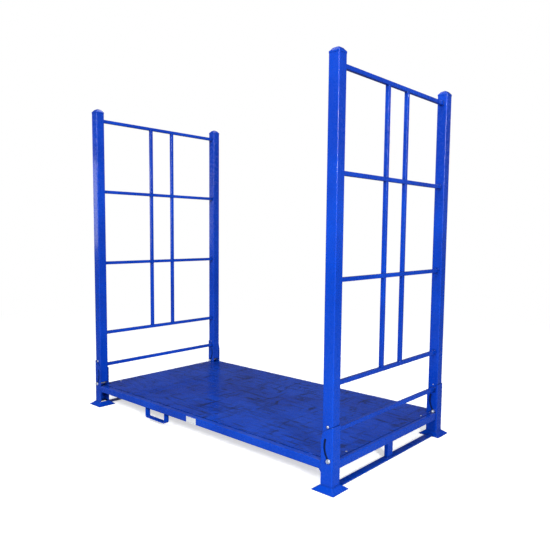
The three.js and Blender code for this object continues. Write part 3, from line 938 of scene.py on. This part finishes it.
def foot_shape():
    """The flared skirt: a rounded rim, sloping sides, and the hollow below."""
    bottom, top = foot_high.x - CORNER_X, SOCKET_WEB
    height = foot_high.z
    ease = 0.8 * MM
    return square_loft(
        [
            (bottom - FOOT_WALL, 3 * MM, 0),
            (bottom - ease, 4 * MM, 0),
            (bottom, 4.5 * MM, ease),
            (bottom, 4.5 * MM, FOOT_LIP - ease),
            (bottom - 1.2 * ease, 4.5 * MM, FOOT_LIP),
            (top + 1.5 * MM, 7.5 * MM, height - 1.5 * MM),
            (top - 1.0 * MM, 7 * MM, height),
            (top - FOOT_WALL, 4 * MM, height),
        ],
        loop=True,
    )


def cap_shape():
    """The domed square cap on a post, its lip and slopes softly rounded."""
    half, base, tip = cap_high.x - CORNER_X, cap_low.z, cap_high.z
    under, lip = (half, base), (half, base + CAP_LIP)
    shoulder, top = (CAP_SHOULDER_X, base + CAP_SHOULDER_Z), (CAP_FLAT, tip)
    outline = rounded_corner((0, base), under, lip, 0.8 * MM)
    outline += rounded_corner(under, lip, shoulder, 2.2 * MM)
    outline += rounded_corner(lip, shoulder, top, 8 * MM)
    outline += rounded_corner(shoulder, top, (0, tip), 3 * MM)
    return square_loft([(x, min(CAP_CORNER, 0.5 * x), z) for x, z in outline])


def pivot_bolt_shape():
    """The bolt, its head outside the socket, with its washers and the nut tightened on it."""
    head_end, thread_end = bolt_high.y - CORNER_Y, bolt_low.y - CORNER_Y
    head_base = head_end - HEAD_HEIGHT
    nut_base = -head_base
    profile = [(BOLT_SHANK - THREAD_DEPTH - 0.5 * MM, thread_end)]
    for turn in range(THREAD_TURNS):
        start = thread_end + 0.6 * MM + turn * THREAD_PITCH
        profile += [(BOLT_SHANK - THREAD_DEPTH, start), (BOLT_SHANK, start + THREAD_PITCH / 2)]
    profile += [(BOLT_SHANK, head_base + 1 * MM), (BOLT_SHANK * 0.5, head_base + 1.2 * MM)]
    head = hexagon_nut(HEAD_APOTHEM, HEAD_HEIGHT, ["high"]).moved(z=head_base)
    nut = hexagon_nut(NUT_APOTHEM, NUT_HEIGHT, ["low", "high"], BOLT_SHANK - 0.3 * MM)
    return joined(
        turned(profile),
        head,
        nut.moved(z=nut_base - NUT_HEIGHT),
        washer_shape(WASHER_RADIUS).moved(z=head_base - WASHER),
        washer_shape(NUT_WASHER_RADIUS).moved(z=nut_base),
    ).placed(ALONG_Y).moved(PIVOT_X, 0, PIVOT_Z)


def washer_shape(radius):
    """A round washer with softened rims, along +Z from z = 0."""
    bore, ease = BOLT_SHANK + 0.2 * MM, 0.35 * MM
    profile = [(bore, 0), (radius - ease, 0), (radius, ease), (radius, WASHER - ease)]
    profile += [(radius - ease, WASHER), (bore, WASHER)]
    return turned(profile, 40, loop=True)


def nylon_ring_shape():
    """The nut's nylon insert, which stands a little proud of it round the thread."""
    bore, radius = BOLT_SHANK - 0.1 * MM, NUT_APOTHEM * 0.86
    profile = [(bore, 0.4 * MM), (bore, -0.6 * MM), (radius * 0.93, -0.8 * MM)]
    profile += [(radius, -0.2 * MM), (radius, 0.4 * MM)]
    nut_end = CORNER_Y - bolt_high.y + HEAD_HEIGHT - NUT_HEIGHT
    ring = turned(profile, loop=True).moved(z=nut_end)
    return ring.placed(ALONG_Y).moved(PIVOT_X, 0, PIVOT_Z)


def stop_pin_shape():
    """A pin through both walls of a post, with a domed head outside."""
    inner_end, head_top = pin_low.y - CORNER_Y, pin_high.y - CORNER_Y
    face = HALF_POST + 0.3 * MM
    rim, shank = 1.6 * MM, PIN_HOLE - 0.3 * MM
    profile = [(shank - 0.6 * MM, inner_end), (shank, inner_end + 0.6 * MM), (shank, face)]
    profile += [(PIN_HEAD - 0.5 * MM, face), (PIN_HEAD, face + 0.5 * MM), (PIN_HEAD, face + rim)]
    for step in range(1, 7):
        angle = math.radians(14 * step)
        height = (head_top - face - rim) * math.sin(angle) / math.sin(math.radians(84))
        profile.append((PIN_HEAD * math.cos(angle), face + rim + height))
    return turned(profile).placed(ALONG_Y).moved(PIN_X, 0, PIN_Z)


def deck_screw_shape():
    """A low domed screw head with a cross recess drawn as a shallow dish."""
    profile = [(SCREW_RADIUS, 0), (SCREW_RADIUS, 0.5 * MM)]
    for step in range(1, 5):
        angle = math.radians(18 * step)
        profile.append((SCREW_RADIUS * math.cos(angle), SCREW_HEIGHT * math.sin(angle)))
    dish = 1.6 * MM
    profile += [(dish, SCREW_HEIGHT), (dish * 0.8, SCREW_HEIGHT * 0.45)]
    return turned(profile, 28)


# The other pieces of the base, in the frame's own axes.


def side_beam_shape(side):
    """A long square beam, with a small gusset under each end."""
    low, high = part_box("side_beam_" + side)
    body_low = Vector((low.x, low.y, BEAM_BOTTOM))
    parts = [tube_in_box(body_low, high, "x", BEAM_CORNER, BEAM_WALL)]
    outwards = 1 if high.y > 0 else -1
    face = (high.y if outwards > 0 else -low.y) - GUSSET_SET_BACK
    half = high.x
    top = BEAM_BOTTOM + BEAM_WALL
    outline = [(half, top), (half - GUSSET_LENGTH, top), (half, BEAM_BOTTOM - GUSSET_HEIGHT)]
    middle_y = face - GUSSET_THICKNESS / 2
    gusset = plate(outline, GUSSET_THICKNESS, lambda u, v, out: (u, middle_y - out, v))
    for x_sign in (-1, 1):
        parts.append(gusset.placed(mirror(x_sign, outwards)))
    return joined(*parts)


def fork_loop_shape(side):
    """Flat bar bent down, across and up again, its legs welded under the beam."""
    low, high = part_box("fork_loop_" + side)
    middle_y, depth = (low.y + high.y) / 2, high.y - low.y
    bend = LOOP_BEND - LOOP_THICKNESS / 2
    leg = high.z - low.z - LOOP_BEND
    across = high.x - low.x - 2 * LOOP_BEND
    turn = quarter_bend(bend)
    fold = Fold(
        low.x + LOOP_THICKNESS / 2, high.z, -QUARTER, [(leg, 0), turn, (across, 0), turn, (leg, 0)]
    )
    end, half = fold.length, depth / 2
    outline = [(0, -half), (end, -half), (end, half), (0, half)]

    def place(u, v, out):
        x, z = fold.at(u, out)
        return x, middle_y - v, z

    return plate(outline, LOOP_THICKNESS, place, rim=1.6 * MM, bends=fold.bends)


def lower_strap_shape(end):
    """A flat strap, its ends cut to the slope of the feet."""
    low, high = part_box("lower_strap_" + end)
    middle_x, middle_z = (low.x + high.x) / 2, (low.z + high.z) / 2
    run = (foot_high.x - CORNER_X - SOCKET_WEB) / (foot_high.z - FOOT_LIP)
    half = high.y - run * (high.z - low.z) / 2
    side = (high.x - low.x) / 2
    outline = [(half, -side), (half, side), (-half, side), (-half, -side)]

    def place(u, v, out):
        return middle_x - v, u * (1 + run * out / half), middle_z + out

    return plate(outline, high.z - low.z, place, rim=1 * MM)


def deck_shape():
    """The deck sheet, with its corners cut out round the sockets."""
    notch_x = CORNER_X + SOCKET_OPEN - NOTCH_GAP
    notch_y = CORNER_Y - NOTCH_DEPTH
    x, y = deck_high.x, deck_high.y
    notch = [(notch_x, y), (notch_x, notch_y), (x, notch_y)]
    corners = notch[::-1]
    corners += [(-a, b) for a, b in notch]
    corners += [(-a, -b) for a, b in reversed(notch)]
    corners += [(a, -b) for a, b in notch]
    outline = rounded_corners(corners, 3 * MM, 3)
    middle = (deck_low.z + deck_high.z) / 2
    return plate(outline, deck_high.z - deck_low.z, lambda u, v, out: (u, v, middle + out))


def label_shape():
    """The label plate, with rounded corners."""
    low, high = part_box("label_plate")
    x, y, z = (low + high) / 2
    outline = rounded_rectangle(high.x - low.x, high.z - low.z, 3 * MM)
    return plate(outline, high.y - low.y, lambda u, v, out: (x + u, y - out, z + v), rim=0.3 * MM)


# Weld beads.


def rail_welds(end, x_sign):
    """The beads round the ends of an end frame's rails, where they meet the posts."""
    parts = []
    for number in RAILS:
        low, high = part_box(f"frame_rail_{number}_{end}")
        middle = (low + high) / 2
        size = high - low
        outline = rounded_rectangle(size.z, size.x, SMALL_TUBE_CORNER, 3)
        for _, y_sign in SIDES:
            phase = number * 1.7 + y_sign + x_sign
            bead = weld_ring(outline, FRAME_BEAD, phase).placed(ALONG_Y)
            parts.append(bead.moved(middle.x, y_sign * (CORNER_Y - HALF_POST), middle.z))
    return parts


def bar_welds(end, x_sign):
    """Short beads on both sides of the upright bars, above and below."""
    parts = []
    for number in BAR_ROWS:
        for side, y_sign in SIDES:
            low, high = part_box(f"frame_bar_{number}_{end}_{side}")
            for y in (low.y, high.y):
                for z in (low.z, high.z):
                    phase = number * 2.3 + y * 9 + x_sign
                    path = [(low.x + 1 * MM, y, z), (high.x - 1 * MM, y, z)]
                    parts.append(weld_run(path, FRAME_BEAD, phase))
    return parts


def cap_welds(x_sign):
    """The beads under the caps, round the posts."""
    outline = rounded_rectangle(2 * HALF_POST, 2 * HALF_POST, POST_CORNER, 4)
    parts = []
    for _, y_sign in SIDES:
        bead = weld_ring(outline, CAP_BEAD, x_sign + 2 * y_sign)
        parts.append(bead.moved(x_sign * CORNER_X, y_sign * CORNER_Y, cap_low.z))
    return parts


def corner_welds():
    """The beads between a foot, its socket and the side beam, in the corner's own frame."""
    web, flange = SOCKET_WEB, SOCKET_FLANGE
    foot_path = [(SOCKET_OPEN, -flange), (web - SOCKET_BEND, -flange)]
    foot_path += arc(web - SOCKET_BEND, SOCKET_BEND - flange, SOCKET_BEND, -QUARTER, 0, 5)
    foot_path += [(x, -y) for x, y in reversed(foot_path)]
    round_foot = weld_run([(x, y, foot_high.z) for x, y in foot_path], BEAM_BEAD * 0.8, 0.4)
    beam_y = beam_high.y - CORNER_Y - 1 * MM
    up_edge = [(SOCKET_OPEN, beam_y, z) for z in (BEAM_BOTTOM + 2 * MM, BEAM_TOP - 2 * MM)]
    return [round_foot, weld_run(up_edge, BEAM_BEAD, 1.1)]


def end_welds(end, x_sign):
    """The beads of the end beam, the strap and the tube between them."""
    parts = []
    size = BEAM_SIDE
    middle_x = x_sign * (end_low.x + end_high.x) / 2
    outline = rounded_rectangle(size, size, BEAM_CORNER, 4)
    strap_low, strap_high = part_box("lower_strap_" + end)
    for _, y_sign in SIDES:
        bead = weld_ring(outline, BEAM_BEAD, x_sign * 2 + y_sign).placed(ALONG_Y)
        parts.append(bead.moved(middle_x, y_sign * end_high.y, BEAM_BOTTOM + size / 2))
        ends_at = y_sign * (strap_high.y + 2 * MM)
        path = [(strap_low.x, ends_at, strap_high.z), (strap_high.x, ends_at, strap_high.z)]
        parts.append(weld_run(path, FRAME_BEAD, y_sign + x_sign))
    low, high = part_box("fork_divider_" + end)
    round_divider = rounded_rectangle(high.x - low.x, high.y - low.y, INNER_TUBE_CORNER, 4)
    for z in (low.z, high.z):
        bead = weld_ring(round_divider, FRAME_BEAD, z * 40)
        parts.append(bead.moved((low.x + high.x) / 2, 0, z))
    return parts


def side_welds(side, y_sign):
    """The stitches along the deck's edge and the beads of the fork loop's legs."""
    parts = []
    edge_y, edge_z = y_sign * deck_high.y, BEAM_TOP + 1.2 * MM
    for number in range(DECK_STITCHES):
        x = (2 * number / (DECK_STITCHES - 1) - 1) * STITCHED_SHARE * deck_high.x
        path = [(x - STITCH_LENGTH / 2, edge_y, edge_z), (x + STITCH_LENGTH / 2, edge_y, edge_z)]
        parts.append(weld_run(path, STITCH_BEAD, number * 0.9))
    low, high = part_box("fork_loop_" + side)
    for x in (low.x, low.x + LOOP_THICKNESS, high.x - LOOP_THICKNESS, high.x):
        path = [(x, low.y + 2 * MM, high.z), (x, high.y - 2 * MM, high.z)]
        parts.append(weld_run(path, FRAME_BEAD, x * 5))
    return parts


# ---- The rack ----


def corner_place(x_sign, y_sign):
    """Puts a piece drawn in a corner's own frame at one of the four corners."""
    return Matrix.Translation((x_sign * CORNER_X, y_sign * CORNER_Y, 0)) @ mirror(x_sign, y_sign)


def build_corners():
    shapes = {
        "corner_socket": (joined(socket_shape(), seat_shape()), tube_paint),
        "flared_foot": (foot_shape(), foot_paint),
        "frame_post": (post_shape(), post_paint),
        "post_cap": (cap_shape(), frame_paint),
    }
    bolt, pin, ring = pivot_bolt_shape(), stop_pin_shape(), nylon_ring_shape()
    for end, x_sign in ENDS:
        for side, y_sign in SIDES:
            place = corner_place(x_sign, y_sign)
            suffix = f"_{end}_{side}"
            for name, (shape, material) in shapes.items():
                on_frame = name in ("frame_post", "post_cap")
                body = f"{end}_frame" if on_frame else "base"
                finished(name + suffix, shape.placed(place), material, body)
            body = f"{end}_pivots"
            finished("pivot_bolt" + suffix, bolt.placed(place), zinc, body, ZINC_SLOT)
            piece("nylon_ring" + suffix, ring.placed(place), nylon, body, ZINC_SLOT)
            finished("stop_pin" + suffix, pin.placed(place), zinc, f"{end}_frame", ZINC_SLOT)


def build_frames():
    for end, x_sign in ENDS:
        body = f"{end}_frame"
        for number in RAILS:
            node = f"frame_rail_{number}_{end}"
            shape = tube_in_box(*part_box(node), "y", SMALL_TUBE_CORNER, SMALL_TUBE_WALL)
            finished(node, shape, frame_paint, body)
        for number in BAR_ROWS:
            for side, _ in SIDES:
                node = f"frame_bar_{number}_{end}_{side}"
                shape = tube_in_box(*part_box(node), "z", SMALL_TUBE_CORNER, SMALL_TUBE_WALL)
                finished(node, shape, frame_paint, body)
        beads = rail_welds(end, x_sign) + bar_welds(end, x_sign) + cap_welds(x_sign)
        piece(f"frame_welds_{end}", joined(*beads), weld_paint, body)


def build_base():
    finished("deck_sheet", deck_shape(), deck_paint, "base")
    finished("label_plate", label_shape(), label_paper, "base", LABEL_SLOT)
    beads = []
    for side, y_sign in SIDES:
        finished("side_beam_" + side, side_beam_shape(side), tube_paint, "base")
        finished("fork_loop_" + side, fork_loop_shape(side), tube_paint, "base")
        beads += side_welds(side, y_sign)
    for end, x_sign in ENDS:
        for name, axis, corner in (
            ("end_beam_", "y", BEAM_CORNER),
            ("deck_cross_member_", "y", INNER_TUBE_CORNER),
            ("fork_divider_", "z", INNER_TUBE_CORNER),
        ):
            shape = tube_in_box(*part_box(name + end), axis, corner, BEAM_WALL)
            finished(name + end, shape, tube_paint, "base")
        finished("lower_strap_" + end, lower_strap_shape(end), tube_paint, "base")
        beads += end_welds(end, x_sign)
        for _, y_sign in SIDES:
            beads += [bead.placed(corner_place(x_sign, y_sign)) for bead in corner_welds()]
    piece("base_welds", joined(*beads), weld_paint, "base")
    screws = []
    for _, x_sign in ENDS:
        for _, y_sign in SIDES:
            x, y = CORNER_X - SCREW_INSET_X, CORNER_Y - SCREW_INSET_Y
            screws.append(deck_screw_shape().moved(x_sign * x, y_sign * y, deck_high.z))
    piece("deck_screws", joined(*screws), zinc, "base", ZINC_SLOT)


# ---- Floor, light and camera ----


def floor_paint():
    """A pale floor that fades to white further out, and is darker to all rays but the camera's."""
    n = Nodes(bpy.data.materials.new("studio_floor"))
    cloud = n.ramp(n.noise(1.3, detail=3), 0.3, 0.7)
    colour = n.mix(cloud, FLOOR_GREY, FLOOR_PALE)
    normal = n.bump(n.noise(160, detail=4), 0.2 * MM, 0.3)
    paint = n.add("BsdfDiffuse", {"Color": colour, "Roughness": 0.4, "Normal": normal})
    glow = n.add("Emission", {"Color": WHITE, "Strength": FLOOR_GLOW})
    lit = n.add("AddShader", {0: paint, 1: glow})
    white = n.add("Emission", {"Color": WHITE, "Strength": 1.0})
    far_out = n.ramp(n.length(n.place), FLOOR_WHITE_FROM, FLOOR_WHITE_BY)
    seen = n.add("MixShader", {0: far_out, 1: lit, 2: white})
    dim = n.add("BsdfDiffuse", {"Color": FLOOR_MIRRORED})
    by_camera = n.add("LightPath", output="Is Camera Ray")
    n.add("OutputMaterial", {"Surface": n.add("MixShader", {0: by_camera, 1: dim, 2: seen})})
    return n.owner


def build_floor():
    """A wide round floor under the rack."""
    mesh = bpy.data.meshes.new("studio_floor")
    rim = [(x, y, 0.0) for x, y in circle(0, 0, FLOOR_RADIUS, 96)]
    mesh.from_pydata(rim, [], [range(len(rim))])
    mesh.materials.append(floor_paint())
    new_object("studio_floor", mesh)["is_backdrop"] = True


def area_light(name, position, target, width, height, power, colour=(1, 1, 1)):
    data = bpy.data.lights.new(name, "AREA")
    data.shape = "RECTANGLE"
    data.size, data.size_y = width, height
    data.energy, data.color = power, colour
    light = new_object(name, data)
    light.location = position
    light.rotation_euler = (Vector(target) - Vector(position)).to_track_quat("-Z", "Y").to_euler()


def build_world():
    """Surroundings brightest at the horizon and dimmer above, dimmer still in reflections, and
    white to the camera."""
    n = Nodes(bpy.data.worlds.new("studio"))
    light = n.ramp(n.axis("Z", n.direction), 0.0, 0.9, HORIZON_LIGHT, ZENITH_LIGHT)
    glossy = n.add("LightPath", output="Is Glossy Ray")
    light = n.times(light, n.ramp(glossy, 0.0, 1.0, 1.0, MIRRORED_SHARE))
    by_camera = n.add("LightPath", output="Is Camera Ray")
    light = n.maths("MAXIMUM", light, by_camera)
    sky = n.add("Background", {"Color": WHITE, "Strength": light})
    n.add("OutputWorld", {"Surface": sky})
    bpy.context.scene.world = n.owner


def build_lights():
    """A key light in front, a tall one that draws the near edges, a card at the far left that
    the front faces mirror, and one above that the caps mirror."""
    area_light("key", (1.4, -6.6, 5.2), (0, 0, 0.7), 3.0, 2.0, 320)
    area_light("edge", (7.4, -4.0, 3.2), (0.8, 0, 1.2), 1.1, 1.7, 440)
    area_light("card", (-7.4, -4.4, 2.0), (-1.1, -0.6, 1.6), 0.8, 1.7, 16)
    area_light("top", (-1.5, 1.7, 6.0), (0, 0, 0.6), 3.0, 2.4, 60)


def build_camera():
    """The camera of the reference view: in front of the rack and to its right."""
    ahead = Vector((
        -math.cos(VIEW_PITCH) * math.sin(VIEW_YAW),
        math.cos(VIEW_PITCH) * math.cos(VIEW_YAW),
        -math.sin(VIEW_PITCH),
    ))
    level = Vector((math.cos(VIEW_YAW), math.sin(VIEW_YAW), 0))
    upright_way = level.cross(ahead)
    right = level * math.cos(VIEW_ROLL) + upright_way * math.sin(VIEW_ROLL)
    above = upright_way * math.cos(VIEW_ROLL) - level * math.sin(VIEW_ROLL)
    data = bpy.data.cameras.new("reference_view")
    data.sensor_width, data.lens = SENSOR, LENS
    data.shift_x, data.shift_y = VIEW_SHIFT_X, VIEW_SHIFT_Y
    camera = new_object("reference_view", data)
    turn = Matrix((right, above, -ahead)).transposed().to_4x4()
    camera.matrix_world = Matrix.Translation(VIEW_FROM) @ turn
    bpy.context.scene.camera = camera


build_corners()
build_frames()
build_base()
build_floor()
build_world()
build_lights()
build_camera()
bpy.context.scene.view_settings.view_transform = "Standard"

visual_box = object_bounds()
boxes = {"cad": cad_box, "visual": visual_box}
{name: [list(corner) for corner in box] for name, box in boxes.items()}
